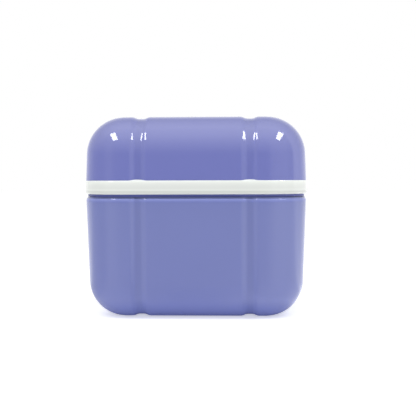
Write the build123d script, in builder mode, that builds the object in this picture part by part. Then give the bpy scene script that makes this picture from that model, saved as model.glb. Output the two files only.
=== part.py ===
from build123d import *
from math import atan, cos, degrees, radians, sin, tan
import os

# Denture case, millimetres. +Z is up, the origin is the centre of the base, X runs along the
# width. The hinge is concealed at the rear (-Y); the push button is in the front (+Y).

# ---------------------------------------------------------------- driving dimensions
case_width = 90.0            # outline at the seam, along X
case_depth = 80.0            # outline at the seam, along Y
shell_height = 48.5          # base to the lower shell's rim
seam_gap = 1.5               # rim of the lower shell to the underside of the trim ring
ring_height = 5.4            # outer face of the trim ring
lid_height = 25.6            # lower edge of the lid's outer face to the crown
plan_radius = 17.2           # upright corners, at the seam
base_edge_radius = 15.0
crown_edge_radius = 15.5
shell_draft = 2.0            # degrees, both outer shells
shell_wall = 1.8

groove_shoulder = 5.8        # middle of a groove to the start of the upright corner
groove_mouth = 6.5
groove_floor = 2.5
groove_depth = 0.75
groove_blend = 3.0           # radius along the lips and the floor edges of a groove

ring_proud = 0.2             # the ring stands this far outside the shells
ring_slope = 0.5             # rise per millimetre inwards of the ring's upper face
ring_shoulder = 0.35         # round where the ring's outer face meets its upper face
ring_bevel = 0.35            # bevel round the ring's lower edge
rim_round = 0.35             # round along the lower shell's rim

neck_recess = 0.9            # the liner's neck lies this far inside the shells' outline
neck_wall = 1.2
neck_drop = 1.1              # neck below the ring

rim_ledge_wall = 1.3         # shell wall left outside the ledge that carries the tub
rim_ledge_depth = 1.6
tub_flange = 1.3
tub_rim_rise = 5.0           # tub's sealing rim above the lower shell's rim
tub_inset_side = 4.2         # tub's outer wall inside the shells' outline, left and right
tub_inset_end = 8.2          # the same, front and rear: room for the latch and the hinge
tub_wall = 1.8
tub_radius = 12.0            # upright corners, at the rim
tub_draft = 1.5
tub_floor_gap = 1.2          # between the lower shell's floor and the tub's
tub_floor_radius = 10.3
support_inset = 21.0         # rib loop under the tub, inside the shells' outline
support_radius = 9.0
support_wall = 1.6

liner_wall = 1.5
liner_inset = 1.0            # liner's inner wall inside the tub's
liner_spigot = 2.5           # liner's wall up inside the lid shell
liner_draft = 3.0
liner_floor_radius = 9.0     # round between the liner's walls and its ceiling
seal_width = 2.4
seal_thickness = 1.5
seal_groove = 0.6            # depth of the groove that holds the seal
seal_gap = 0.2               # relaxed seal to the tub's rim

hinge_setback = 3.0          # hinge axis inside the shells' outline
hinge_rise = 3.0             # hinge axis above the ring's underside
hinge_margin = 8.8           # middle of a hinge to the start of the tub's upright corner
knuckle_radius = 1.6
base_knuckle = 4.0           # width of the tub's knuckle
lid_knuckle = 4.0            # width of each of the liner's two knuckles at one hinge
arm_above = 0.4              # top of the hinge arm above the axis
arm_below = 0.65             # underside of the hinge arm below the axis
notch_skin = 0.5             # skin of the neck left across a hinge notch, so the seam hides it
notch_skin_rise = 0.1        # top of that skin above the ring's underside
pin_radius = 0.75
pin_fit = 0.01               # pin in the liner's knuckles
pin_running = 0.05           # pin in the tub's knuckle

button_width = 18.0
button_height = 8.0
button_drop = 7.0            # centre of the button below the lower shell's rim
button_proud = 0.1           # face of the button outside the shells' outline
button_face_round = 0.7
button_dish = 0.45           # depth of the finger dish
button_flange = 1.4
button_flange_margin = 1.1   # flange beyond the opening, above and below
button_flange_side = 2.0     # flange beyond the opening, left and right
button_travel = 1.5
stem_width = 14.0
stem_height = 7.6
arm_width = 12.0
arm_thickness = 1.6
hook_reach = 2.1             # hook out from the arm
hook_nose = 0.35             # flat at the hook's tip
hook_height = 1.5
catch_overlap = 0.9          # hook over the catch rib
catch_level = 0.8            # underside of the catch rib above the ring's underside
catch_height = 1.0
catch_depth = 1.5
catch_width = 16.0
catch_gap = 0.15             # catch rib to the hook above it

spring_radius = 1.95         # to the middle of the wire
spring_wire = 0.25           # radius of the wire
spring_turns = 5
spring_bore_gap = 0.35
spring_cap = 2.1             # plastic left in front of the spring bore
spring_post_radius = 1.3
spring_post = 3.0
spring_pad_radius = 3.4
rail_thickness = 1.5         # rails each side of the button's flange

basket_sink = 2.5            # rim of the basket below the lower shell's rim
basket_gap = 0.7             # basket to tub, at the basket's rim
basket_draft = 2.2
basket_wall = 1.4
basket_floor_radius = 7.5
basket_lip = 0.5             # round along the basket's rim
basket_foot = 1.5
basket_foot_radius = 2.2
basket_foot_side = 15.7      # middle of a foot inside the basket's rim, left and right
basket_foot_end = 13.1       # the same, front and rear
slot_width = 2.4
slot_pitch = 4.8
slot_sill = 9.7              # lower ends of the slots above the basket's underside
slot_head = 9.0              # upper ends of the slots below the basket's rim
slot_margin = 2.4            # last slot's middle to the start of the basket's upright corner
drain_radius = 1.5
drain_pitch = 6.4
drain_margin = 15.0          # last drain's middle to the basket's rim outline

bail_radius = 1.4            # rod of the folding handle
bail_sink = 3.4              # pivot below the basket's rim
bail_rear_gap = 3.7          # middle of the cross bar inside the basket's rim
bail_corner = 7.0
bail_side_gap = 0.4
bail_pin_radius = 1.2
bail_eye_radius = 2.2
bail_pip_x = 12.0            # the folded bail lies on two pips on the rear wall
bail_pip_width = 3.0
bail_pip_thickness = 1.2

brush_inset = 12.1           # middle of the brush inside the basket's front rim
brush_end_inset = 3.1        # ends of the brush inside the basket's side rims
brush_width = 9.0
brush_neck = 9.0             # length of the narrow neck
brush_neck_width = 5.6
brush_neck_blend = 3.0
brush_end_radius = 3.6
brush_thickness = 4.0
brush_round = 1.0
head_length = 25.0
tuft_height = 9.0
tuft_radius = 0.75
tuft_pitch = 2.2
tuft_rows = 3
tuft_columns = 9
cradle_length = 6.0          # brush cradles reach in from the side walls
cradle_root_inset = 1.1      # and are rooted this far inside the basket's rim
cradle_thickness = 2.0
cradle_horn = 1.6            # horns each side of the brush
cradle_horn_rise = 2.0

mirror_side = 19.0           # ends of the mirror inside the shells' outline
mirror_end = 22.0            # the same, front and rear
mirror_radius = 6.0
mirror_thickness = 1.5
tape_thickness = 0.5
tape_inset = 3.0

slide_gap = 0.3              # between pieces that move past each other
fixed_gap = 0.1              # between pieces fixed to each other
proud = 1.0                  # how far a cutter stands out of what it cuts
edge_tolerance = 0.02        # an edge this near to a place counts as lying there
facets = 6                   # sides of a bristle tuft and of the spring's wire

# ---------------------------------------------------------------- levels and places
half_depth = case_depth / 2
half_width = case_width / 2
ring_bottom = shell_height + seam_gap
ring_edge = ring_bottom + ring_height
lid_bottom = ring_edge + ring_slope * ring_proud
case_height = lid_bottom + lid_height
groove_offset = half_width - plan_radius - groove_shoulder
ledge_level = shell_height - rim_ledge_depth
tub_rim = shell_height + tub_rim_rise
tub_under = shell_wall + tub_floor_gap
tub_floor = tub_under + tub_wall
tub_face = half_depth - tub_inset_end
button_level = shell_height - button_drop
button_face = half_depth + button_proud
seal_bottom = tub_rim + seal_gap
seal_top = seal_bottom + seal_thickness
liner_shoulder = seal_top - seal_groove
liner_step = ring_edge + ring_slope * (ring_proud + neck_recess)
liner_top = case_height - shell_wall - slide_gap
liner_ceiling = liner_top - liner_wall
mirror_top = liner_ceiling - tape_thickness
mirror_width = case_width - 2 * mirror_side
mirror_depth = case_depth - 2 * mirror_end
hinge_y = hinge_setback - half_depth
hinge_z = ring_bottom + hinge_rise
hinge_spread = half_width - tub_inset_side - tub_radius - hinge_margin
knuckle_clear = knuckle_radius + slide_gap
neck_bottom = ring_bottom - neck_drop
neck_inside = neck_recess + neck_wall


def draft_inset(height, angle):
    """How far a drafted wall comes in over a height."""
    return height * tan(radians(angle))


def case_outline(inset):
    """The case's plan at the seam, moved in by inset."""
    return RectangleRounded(case_width - 2 * inset, case_depth - 2 * inset, plan_radius - inset)


def tub_outline(inset):
    """The tub's plan at its rim, moved in by inset."""
    width = case_width - 2 * tub_inset_side - 2 * inset
    depth = case_depth - 2 * tub_inset_end - 2 * inset
    return RectangleRounded(width, depth, tub_radius - inset)


def drafted_block(outline, inset, rim, end, angle, edge_radius):
    """Solid block from a plan at the rim to a rounded closed end, narrowing by the draft."""
    with BuildPart() as block:
        with BuildSketch(Plane.XY.offset(rim)):
            outline(inset)
        extrude(amount=end - rim, taper=angle)
        end_face = block.faces().sort_by(Axis.Z)[-1 if end > rim else 0]
        fillet(end_face.edges(), edge_radius)
    return block.part


def front_plane(y):
    """Upright plane at y that faces the front, with its second direction upwards."""
    return Plane(origin=(0, y, 0), x_dir=(-1, 0, 0), z_dir=(0, 1, 0))


def side_plane(x):
    """Upright plane at x that faces +X: its directions are +Y and +Z."""
    return Plane(origin=(x, 0, 0), x_dir=(0, 1, 0), z_dir=(1, 0, 0))


def groove_cutter(x, rim, floor, edge_radius):
    """Channel along one groove, from the rim round the closed end of a shell and back."""
    direction = 1 if rim > floor else -1
    overrun = direction * proud
    rim_y = half_depth + draft_inset(proud, shell_draft)
    floor_y = half_depth - draft_inset(abs(rim - floor), shell_draft)
    start = (x, -rim_y, rim + overrun)
    lean = radians(shell_draft)
    outwards = (0, -cos(lean), -direction * sin(lean))
    along = (0, sin(lean), -direction * cos(lean))
    mouth = groove_mouth / 2
    foot = groove_floor / 2
    flare = mouth + proud * (mouth - foot) / groove_depth
    with BuildPart() as cutter:
        with BuildLine() as path:
            FilletPolyline(
                start,
                (x, -floor_y, floor),
                (x, floor_y, floor),
                (x, rim_y, rim + overrun),
                radius=edge_radius,
            )
        section = Plane(origin=start, x_dir=(1, 0, 0), z_dir=along)
        side = 1 if section.y_dir.dot(Vector(*outwards)) > 0 else -1
        with BuildSketch(section) as channel:
            Polygon(
                (-flare, side * proud),
                (flare, side * proud),
                (foot, -side * groove_depth),
                (-foot, -side * groove_depth),
                align=None,
            )
        sweep(path=path.line)
    return cutter.part


def groove_edges(part):
    """Lips and floor edges of the grooves: each lies at one x all along."""
    offsets = [s * (groove_offset + k * w / 2) for s in (-1, 1) for k in (-1, 1)
               for w in (groove_mouth, groove_floor)]

    def follows_groove(edge):
        box = edge.bounding_box()
        narrow = box.size.X < edge_tolerance
        return narrow and any(abs(box.min.X - place) < edge_tolerance for place in offsets)

    return part.edges().filter_by(follows_groove)


# ---------------------------------------------------------------- base: lower shell
lower_block = drafted_block(case_outline, 0, shell_height, 0, shell_draft, base_edge_radius)
lower_cavity = drafted_block(case_outline, shell_wall, shell_height, shell_wall, shell_draft,
                             base_edge_radius - shell_wall)
with BuildPart() as lower_shell:
    add(lower_block)
    for side in (-1, 1):
        add(groove_cutter(side * groove_offset, shell_height, 0, base_edge_radius),
            mode=Mode.SUBTRACT)
    fillet(groove_edges(lower_shell), groove_blend)
    add(lower_cavity, mode=Mode.SUBTRACT)
    # ledge that carries the tub's flange
    with BuildSketch(Plane.XY.offset(ledge_level)):
        case_outline(rim_ledge_wall)
    extrude(amount=rim_ledge_depth, mode=Mode.SUBTRACT)
    rim_face = lower_shell.faces().sort_by(Axis.Z)[-1]
    fillet(rim_face.outer_wire().edges(), rim_round)
    # rib loop under the tub
    with BuildSketch(Plane.XY.offset(shell_wall)):
        RectangleRounded(case_width - 2 * support_inset, case_depth - 2 * support_inset,
                         support_radius)
        offset(amount=-support_wall, mode=Mode.SUBTRACT)
    extrude(amount=tub_floor_gap)
    # opening for the push button
    with BuildSketch(front_plane(half_depth + proud)):
        with Locations((0, button_level)):
            SlotOverall(button_width + 2 * slide_gap, button_height + 2 * slide_gap)
    extrude(amount=-shell_wall - 2 * proud, mode=Mode.SUBTRACT)
lower_shell.part.label = "lower_shell"

# ---------------------------------------------------------------- latch and hinge places
catch_face = half_depth - neck_inside - catch_depth
hook_tip = catch_face + catch_overlap
arm_front = hook_tip - hook_reach
arm_back = arm_front - arm_thickness
catch_bottom = ring_bottom + catch_level
hook_bottom = catch_bottom + catch_height + catch_gap
hook_top = hook_bottom + hook_height
flange_bottom = button_level - button_height / 2 - button_flange_margin
flange_wall = draft_inset(shell_height - flange_bottom, shell_draft) + shell_wall
flange_front = half_depth - flange_wall - slide_gap / 2
flange_back = flange_front - button_flange
flange_width = button_width + 2 * button_flange_side
flange_height = button_height + 2 * button_flange_margin
pad_face = arm_back - button_travel - slide_gap
spring_bore = spring_radius + spring_wire + spring_bore_gap
spring_seat = button_face - spring_cap
arm_slot = arm_thickness + button_travel + 2 * slide_gap
lid_knuckle_x = (base_knuckle + lid_knuckle) / 2 + slide_gap

# ---------------------------------------------------------------- base: inner tub
tub_block = drafted_block(tub_outline, 0, tub_rim, tub_under, tub_draft, tub_floor_radius)
tub_cavity = drafted_block(tub_outline, tub_wall, tub_rim, tub_floor, tub_draft,
                           tub_floor_radius - tub_wall)
with BuildPart() as inner_tub:
    with BuildSketch(Plane.XY.offset(ledge_level)):
        case_outline(rim_ledge_wall + fixed_gap)
        with Locations((0, arm_front + slide_gap - arm_slot / 2)):
            Rectangle(arm_width + 2 * slide_gap, arm_slot, mode=Mode.SUBTRACT)
    extrude(amount=tub_flange)
    add(tub_block)
    # rails that guide the button's flange
    with BuildSketch(front_plane(tub_face - tub_wall)):
        with GridLocations(flange_width + 2 * slide_gap + rail_thickness, 1, 2, 1):
            with Locations((0, button_level)):
                Rectangle(rail_thickness, flange_height)
    extrude(amount=flange_front - tub_face + tub_wall)
    # flat pad and post of the button's spring
    with BuildSketch(front_plane(tub_face - tub_wall)):
        with Locations((0, button_level)):
            Circle(spring_pad_radius)
    extrude(amount=pad_face - tub_face + tub_wall)
    with BuildSketch(front_plane(pad_face)):
        with Locations((0, button_level)):
            Circle(spring_post_radius)
    extrude(amount=spring_post)
    # hinge arms and their knuckles
    for side in (-1, 1):
        with BuildSketch(side_plane(side * hinge_spread - base_knuckle / 2)):
            with Locations((hinge_y, hinge_z)):
                Circle(knuckle_radius)
            with Locations((hinge_y, hinge_z - arm_below)):
                Rectangle(tub_wall / 2 - tub_face - hinge_y, arm_above + arm_below,
                          align=(Align.MIN, Align.MIN))
        extrude(amount=base_knuckle)
    with BuildSketch(side_plane(-half_width)):
        with Locations((hinge_y, hinge_z)):
            Circle(pin_radius + pin_running)
    extrude(amount=case_width, mode=Mode.SUBTRACT)
    add(tub_cavity, mode=Mode.SUBTRACT)
inner_tub.part.label = "inner_tub"

# ---------------------------------------------------------------- hinge pins
hinge_pins = {}
for side, name in ((-1, "hinge_pin_left"), (1, "hinge_pin_right")):
    pin_length = base_knuckle + 2 * (lid_knuckle + slide_gap)
    with BuildPart() as hinge_pin:
        with BuildSketch(side_plane(side * hinge_spread - pin_length / 2)):
            with Locations((hinge_y, hinge_z)):
                Circle(pin_radius)
        extrude(amount=pin_length)
    hinge_pin.part.label = name
    hinge_pins[name] = hinge_pin.part

# ---------------------------------------------------------------- lid: outer shell
lid_block = drafted_block(case_outline, 0, lid_bottom, case_height, shell_draft,
                          crown_edge_radius)
lid_cavity = drafted_block(case_outline, shell_wall, lid_bottom, case_height - shell_wall,
                           shell_draft, crown_edge_radius - shell_wall)
slope_angle = 90 - degrees(atan(ring_slope))
with BuildPart() as lid_shell:
    add(lid_block)
    for side in (-1, 1):
        add(groove_cutter(side * groove_offset, lid_bottom, case_height, crown_edge_radius),
            mode=Mode.SUBTRACT)
    fillet(groove_edges(lid_shell), groove_blend)
    add(lid_cavity, mode=Mode.SUBTRACT)
    # the lower edge slopes up inwards to sit on the trim ring
    with BuildSketch(Plane.XY.offset(lid_bottom)):
        case_outline(0)
    extrude(amount=ring_slope * (shell_wall + proud), taper=slope_angle, mode=Mode.SUBTRACT)
lid_shell.part.label = "lid_shell"

# ---------------------------------------------------------------- lid: trim ring
with BuildPart() as trim_ring:
    with BuildSketch(Plane.XY.offset(ring_bottom)):
        case_outline(-ring_proud)
    extrude(amount=ring_height)
    chamfer(trim_ring.faces().sort_by(Axis.Z)[0].edges(), ring_bevel)
    with BuildSketch(Plane.XY.offset(ring_edge)):
        case_outline(-ring_proud)
    extrude(amount=liner_step - ring_edge, taper=slope_angle)
    fillet(trim_ring.edges().filter_by_position(Axis.Z, ring_edge - fixed_gap,
                                                ring_edge + fixed_gap), ring_shoulder)
    with BuildSketch(Plane.XY.offset(ring_bottom)):
        case_outline(neck_recess - fixed_gap)
    extrude(amount=ring_height + proud, mode=Mode.SUBTRACT)
trim_ring.part.label = "trim_ring"

# ---------------------------------------------------------------- lid: liner
liner_place = tub_wall + liner_inset
liner_cup = drafted_block(tub_outline, liner_place - liner_wall, liner_step, liner_top,
                          liner_draft, liner_floor_radius)
liner_cavity = drafted_block(tub_outline, liner_place, liner_shoulder, liner_ceiling,
                             liner_draft, liner_floor_radius - liner_wall)
with BuildPart() as lid_liner:
    # neck and skirt, up to the shoulder
    with BuildSketch(Plane.XY.offset(neck_bottom)):
        case_outline(neck_recess)
        offset(amount=-neck_wall, mode=Mode.SUBTRACT)
    extrude(amount=liner_shoulder - neck_bottom)
    with BuildSketch(Plane.XY.offset(liner_shoulder)):
        case_outline(neck_recess)
    extrude(amount=liner_step - liner_shoulder)
    # spigot up inside the lid shell
    with BuildSketch(Plane.XY.offset(liner_step)):
        case_outline(shell_wall + 2 * fixed_gap)
        offset(amount=-neck_wall, mode=Mode.SUBTRACT)
    extrude(amount=liner_spigot)
    add(liner_cup)
    add(liner_cavity, mode=Mode.SUBTRACT)
    # groove that holds the seal
    with BuildSketch(Plane.XY.offset(liner_shoulder)):
        tub_outline((tub_wall - seal_width) / 2 - fixed_gap)
        offset(amount=-seal_width - 2 * fixed_gap, mode=Mode.SUBTRACT)
    extrude(amount=seal_groove, mode=Mode.SUBTRACT)
    # catch rib for the button's hook
    with BuildSketch(side_plane(-catch_width / 2)):
        with BuildLine():
            Polyline(
                (half_depth - neck_inside, catch_bottom - catch_height),
                (half_depth - neck_inside, catch_bottom + catch_height),
                (catch_face, catch_bottom + catch_height),
                (catch_face, catch_bottom + catch_height / 2),
                close=True,
            )
        make_face()
    extrude(amount=catch_width)
    # knuckles either side of each of the tub's, which turns in a notch
    for side in (-1, 1):
        for hand in (-1, 1):
            middle = side * hinge_spread + hand * lid_knuckle_x
            with BuildSketch(side_plane(middle - lid_knuckle / 2)):
                with Locations((hinge_y, hinge_z)):
                    Circle(knuckle_radius)
            extrude(amount=lid_knuckle)
        notch = base_knuckle + 2 * slide_gap
        with BuildSketch(side_plane(side * hinge_spread - notch / 2)):
            with Locations((hinge_y, hinge_z)):
                Circle(knuckle_clear)
            with Locations((-half_depth, ring_bottom + notch_skin_rise)):
                Rectangle(neck_inside + slide_gap, hinge_rise - notch_skin_rise,
                          align=(Align.MIN, Align.MIN))
            with Locations((-half_depth + neck_recess + notch_skin, neck_bottom)):
                Rectangle(neck_wall - notch_skin + slide_gap, neck_drop + notch_skin_rise,
                          align=(Align.MIN, Align.MIN))
        extrude(amount=notch, mode=Mode.SUBTRACT)
    with BuildSketch(side_plane(-half_width / 2 - hinge_spread / 2)):
        with Locations((hinge_y, hinge_z)):
            Circle(pin_radius + pin_fit)
    extrude(amount=half_width + hinge_spread, mode=Mode.SUBTRACT)
lid_liner.part.label = "lid_liner"

# ---------------------------------------------------------------- lid: seal, mirror, tape
with BuildPart() as seal_ring:
    with BuildSketch(Plane.XY.offset(seal_bottom)):
        tub_outline((tub_wall - seal_width) / 2)
        offset(amount=-seal_width, mode=Mode.SUBTRACT)
    extrude(amount=seal_thickness)
seal_ring.part.label = "seal_ring"

with BuildPart() as mirror:
    with BuildSketch(Plane.XY.offset(mirror_top - mirror_thickness)):
        RectangleRounded(mirror_width, mirror_depth, mirror_radius)
    extrude(amount=mirror_thickness)
mirror.part.label = "mirror"

with BuildPart() as mirror_tape:
    with BuildSketch(Plane.XY.offset(mirror_top)):
        RectangleRounded(mirror_width - 2 * tape_inset, mirror_depth - 2 * tape_inset,
                         mirror_radius - tape_inset)
    extrude(amount=tape_thickness)
mirror_tape.part.label = "mirror_tape"

# ---------------------------------------------------------------- push button and spring
with BuildPart() as push_button:
    with BuildSketch(front_plane(flange_back)):
        with Locations((0, button_level)):
            RectangleRounded(flange_width, flange_height, flange_height / 4)
    extrude(amount=button_flange)
    with BuildSketch(front_plane(flange_front)):
        with Locations((0, button_level)):
            SlotOverall(button_width, button_height)
    extrude(amount=button_face - flange_front)
    fillet(push_button.faces().sort_by(Axis.Y)[-1].edges(), button_face_round)
    # finger dish
    dish_radius = (button_height ** 2 / 4 + button_dish ** 2) / (2 * button_dish)
    with BuildSketch(side_plane(-button_width / 4)):
        with Locations((button_face - button_dish + dish_radius, button_level)):
            Circle(dish_radius)
    extrude(amount=button_width / 2, mode=Mode.SUBTRACT)
    # stem, arm and hook
    with BuildSketch(front_plane(arm_back)):
        with Locations((0, button_level)):
            Rectangle(stem_width, stem_height)
    extrude(amount=flange_back - arm_back)
    with BuildSketch(side_plane(-arm_width / 2)):
        with BuildLine():
            Polyline(
                (arm_back, button_level),
                (arm_back, hook_top),
                (arm_front, hook_top),
                (hook_tip, hook_bottom + hook_nose),
                (hook_tip, hook_bottom),
                (arm_front, hook_bottom),
                (arm_front, button_level),
                close=True,
            )
        make_face()
    extrude(amount=arm_width)
    # blind bore of the spring
    with BuildSketch(front_plane(arm_back)):
        with Locations((0, button_level)):
            Circle(spring_bore)
    extrude(amount=spring_seat - arm_back, mode=Mode.SUBTRACT)
push_button.part.label = "push_button"

spring_start = pad_face + spring_wire
spring_length = spring_seat - pad_face - 2 * spring_wire
with BuildPart() as button_spring:
    with BuildLine() as coil:
        Helix(spring_length / spring_turns, spring_length, spring_radius,
              center=(0, spring_start, button_level), direction=(0, 1, 0))
    with BuildSketch(Plane(origin=coil.line @ 0, z_dir=coil.line % 0)):
        RegularPolygon(spring_wire, facets)
    sweep(path=coil.line, is_frenet=True)
button_spring.part.label = "button_spring"

# ---------------------------------------------------------------- strainer basket
basket_under = tub_floor + basket_foot
basket_top = shell_height - basket_sink
basket_place = tub_wall + draft_inset(tub_rim - basket_top, tub_draft) + basket_gap
basket_block = drafted_block(tub_outline, basket_place, basket_top, basket_under, basket_draft,
                             basket_floor_radius)
basket_cavity = drafted_block(tub_outline, basket_place + basket_wall, basket_top,
                              basket_under + basket_wall, basket_draft,
                              basket_floor_radius - basket_wall)
basket_half_width = half_width - tub_inset_side - basket_place
basket_half_depth = half_depth - tub_inset_end - basket_place
basket_corner = tub_radius - basket_place
slot_bottom = basket_under + slot_sill
slot_top = basket_top - slot_head
slots_across = 2 * int((basket_half_width - basket_corner - slot_margin) / slot_pitch) + 1
slots_along = 2 * int((basket_half_depth - basket_corner - slot_margin) / slot_pitch) + 1
drains_across = 2 * int((basket_half_width - drain_margin) / drain_pitch) + 1
drains_along = 2 * int((basket_half_depth - drain_margin) / drain_pitch) + 1
basket_foot_x = basket_half_width - basket_foot_side
basket_foot_y = basket_half_depth - basket_foot_end
bail_level = basket_top - bail_sink
bail_reach = basket_half_depth - bail_rear_gap
bail_inset = draft_inset(basket_top - bail_level, basket_draft) + basket_wall
bail_face = basket_half_width - bail_inset - bail_side_gap
bail_arm_x = bail_face - bail_radius
pip_top = bail_level - bail_radius - fixed_gap
brush_y = basket_half_depth - brush_inset
brush_length = 2 * (basket_half_width - brush_end_inset)
cradle_root = basket_half_width - cradle_root_inset
cradle_width = brush_width + 2 * slide_gap + 2 * cradle_horn
with BuildPart() as strainer_basket:
    add(basket_block)
    add(basket_cavity, mode=Mode.SUBTRACT)
    fillet(strainer_basket.faces().sort_by(Axis.Z)[-1].edges(), basket_lip)
    # slots and drains
    with BuildSketch(Plane.XZ):
        with Locations((0, (slot_bottom + slot_top) / 2)):
            with GridLocations(slot_pitch, 1, slots_across, 1):
                SlotOverall(slot_top - slot_bottom, slot_width, rotation=90)
    extrude(amount=half_depth, both=True, mode=Mode.SUBTRACT)
    with BuildSketch(Plane.YZ):
        with Locations((0, (slot_bottom + slot_top) / 2)):
            with GridLocations(slot_pitch, 1, slots_along, 1):
                SlotOverall(slot_top - slot_bottom, slot_width, rotation=90)
    extrude(amount=half_width, both=True, mode=Mode.SUBTRACT)
    with BuildSketch(Plane.XY.offset(basket_under)):
        with GridLocations(drain_pitch, drain_pitch, drains_across, drains_along):
            Circle(drain_radius)
    extrude(amount=basket_wall, mode=Mode.SUBTRACT)
    # feet
    with BuildSketch(Plane.XY.offset(tub_floor)):
        with GridLocations(2 * basket_foot_x, 2 * basket_foot_y, 2, 2):
            Circle(basket_foot_radius)
    extrude(amount=basket_foot)
    # pips under the folded handle
    with BuildSketch(Plane.XY.offset(pip_top)):
        with GridLocations(2 * bail_pip_x, 1, 2, 1):
            with Locations((0, -basket_half_depth + bail_inset / 2)):
                Rectangle(bail_pip_width, basket_half_depth - bail_inset / 2 - bail_reach
                          + bail_radius, align=(Align.CENTER, Align.MIN))
    extrude(amount=-bail_pip_thickness)
    # cradles for the brush
    for side in (-1, 1):
        with BuildSketch(side_plane(side * cradle_root)):
            with Locations((brush_y, basket_top - cradle_thickness)):
                Rectangle(cradle_width, cradle_thickness + cradle_horn_rise,
                          align=(Align.CENTER, Align.MIN))
            with Locations((brush_y, basket_top)):
                Rectangle(cradle_width - 2 * cradle_horn, cradle_horn_rise,
                          align=(Align.CENTER, Align.MIN), mode=Mode.SUBTRACT)
        extrude(amount=-side * cradle_length)
    # pivot holes
    with BuildSketch(Plane.YZ):
        with Locations((0, bail_level)):
            Circle(bail_pin_radius + pin_running)
    extrude(amount=half_width, both=True, mode=Mode.SUBTRACT)
strainer_basket.part.label = "strainer_basket"

# ---------------------------------------------------------------- basket handle
with BuildPart() as basket_handle:
    with BuildLine() as bail_path:
        FilletPolyline(
            (-bail_arm_x, 0, bail_level),
            (-bail_arm_x, -bail_reach, bail_level),
            (bail_arm_x, -bail_reach, bail_level),
            (bail_arm_x, 0, bail_level),
            radius=bail_corner,
        )
    with BuildSketch(Plane(origin=bail_path.line @ 0, z_dir=bail_path.line % 0)):
        Circle(bail_radius)
    sweep(path=bail_path.line)
    for side in (-1, 1):
        with BuildSketch(side_plane(side * (bail_face - 2 * bail_radius))):
            with Locations((0, bail_level)):
                Circle(bail_eye_radius)
        extrude(amount=side * 2 * bail_radius)
        with BuildSketch(side_plane(side * bail_face)):
            with Locations((0, bail_level)):
                Circle(bail_pin_radius)
        extrude(amount=side * (bail_side_gap + basket_wall))
basket_handle.part.label = "basket_handle"

# ---------------------------------------------------------------- brush
head_x = (head_length - brush_length) / 2
grip_length = brush_length - head_length - brush_neck
with BuildPart() as brush_handle:
    with BuildSketch(Plane.XY.offset(basket_top)) as brush_plan:
        with Locations((head_x, brush_y)):
            RectangleRounded(head_length, brush_width, brush_end_radius)
        with Locations(((brush_length - grip_length) / 2, brush_y)):
            RectangleRounded(grip_length, brush_width, brush_end_radius)
        with Locations((0, brush_y)):
            Rectangle(brush_length - 2 * brush_width, brush_neck_width)
        neck_ends = [corner for corner in brush_plan.vertices()
                     if abs(abs(corner.Y - brush_y) - brush_neck_width / 2) < edge_tolerance]
        fillet(neck_ends, brush_neck_blend)
    extrude(amount=brush_thickness)
    fillet(brush_handle.faces().sort_by(Axis.Z)[-1].edges(), brush_round)
brush_handle.part.label = "brush_handle"

with BuildPart() as brush_bristles:
    with BuildSketch(Plane.XY.offset(basket_top + brush_thickness)):
        with Locations((head_x, brush_y)):
            with GridLocations(tuft_pitch, tuft_pitch, tuft_columns, tuft_rows):
                RegularPolygon(tuft_radius, facets)
    extrude(amount=tuft_height)
brush_bristles.part.label = "brush_bristles"

# ---------------------------------------------------------------- export
pieces = [lower_shell, inner_tub, lid_shell, trim_ring, lid_liner, seal_ring, mirror, mirror_tape,
          push_button, button_spring, strainer_basket, basket_handle, brush_handle,
          brush_bristles]
os.makedirs("parts", exist_ok=True)
for piece in [builder.part for builder in pieces] + list(hinge_pins.values()):
    export_step(piece, f"parts/{piece.label}.step")
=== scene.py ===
import math

import bmesh
import bpy
from mathutils import Matrix, Vector


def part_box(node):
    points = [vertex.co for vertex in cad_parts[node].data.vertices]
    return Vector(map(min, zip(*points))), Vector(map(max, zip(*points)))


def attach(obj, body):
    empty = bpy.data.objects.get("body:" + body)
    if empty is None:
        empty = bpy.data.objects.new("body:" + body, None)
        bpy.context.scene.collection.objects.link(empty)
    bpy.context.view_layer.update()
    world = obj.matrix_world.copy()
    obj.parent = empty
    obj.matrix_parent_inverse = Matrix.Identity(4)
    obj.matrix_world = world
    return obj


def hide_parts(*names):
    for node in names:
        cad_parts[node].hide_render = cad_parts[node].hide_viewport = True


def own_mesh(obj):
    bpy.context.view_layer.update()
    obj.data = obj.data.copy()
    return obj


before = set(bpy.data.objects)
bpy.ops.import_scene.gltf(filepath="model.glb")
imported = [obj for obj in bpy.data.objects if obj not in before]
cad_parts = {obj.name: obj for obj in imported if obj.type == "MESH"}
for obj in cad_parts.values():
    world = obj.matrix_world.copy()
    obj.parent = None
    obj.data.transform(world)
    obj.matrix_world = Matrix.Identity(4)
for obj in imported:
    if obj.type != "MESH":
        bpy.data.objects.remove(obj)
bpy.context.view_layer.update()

# ---------------------------------------------------------------- sizes, millimetres
MM = 0.001
HALF_WIDTH, HALF_DEPTH = 45.0, 40.0
PLAN_RADIUS = 17.2
CORE_X = HALF_WIDTH - PLAN_RADIUS
CORE_Y = HALF_DEPTH - PLAN_RADIUS
DRAFT = math.radians(2.0)
WALL = 1.8

SHELL_RIM = 48.2
BASE_EDGE = 15.0
RIM_EASE, RIM_EASE_ANGLE = 3.8, math.radians(21)
RIM_ROUND = 0.3
RIM_BEAD = 0.5
LEDGE_WALL, LEDGE_DROP = 1.3, 1.3
LEDGE_STEP = 0.02

RING_BOTTOM, RING_TOP = 49.8, 55.2
RING_OUT = PLAN_RADIUS + 0.2
RING_SLOPE = 0.5
RING_SHOULDER, RING_ROUND = 0.6, 0.8
RING_IN = PLAN_RADIUS - 0.8
RING_LEVELS = (1.2, 2.7, 4.5)

LID_RIM = 55.3
CROWN = 81.1
CROWN_EDGE = 15.5

GROOVE_X = 22.0
GROOVE_FLOOR, GROOVE_LIP = 0.6, 3.9
GROOVE_DEPTH = 0.75

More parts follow.
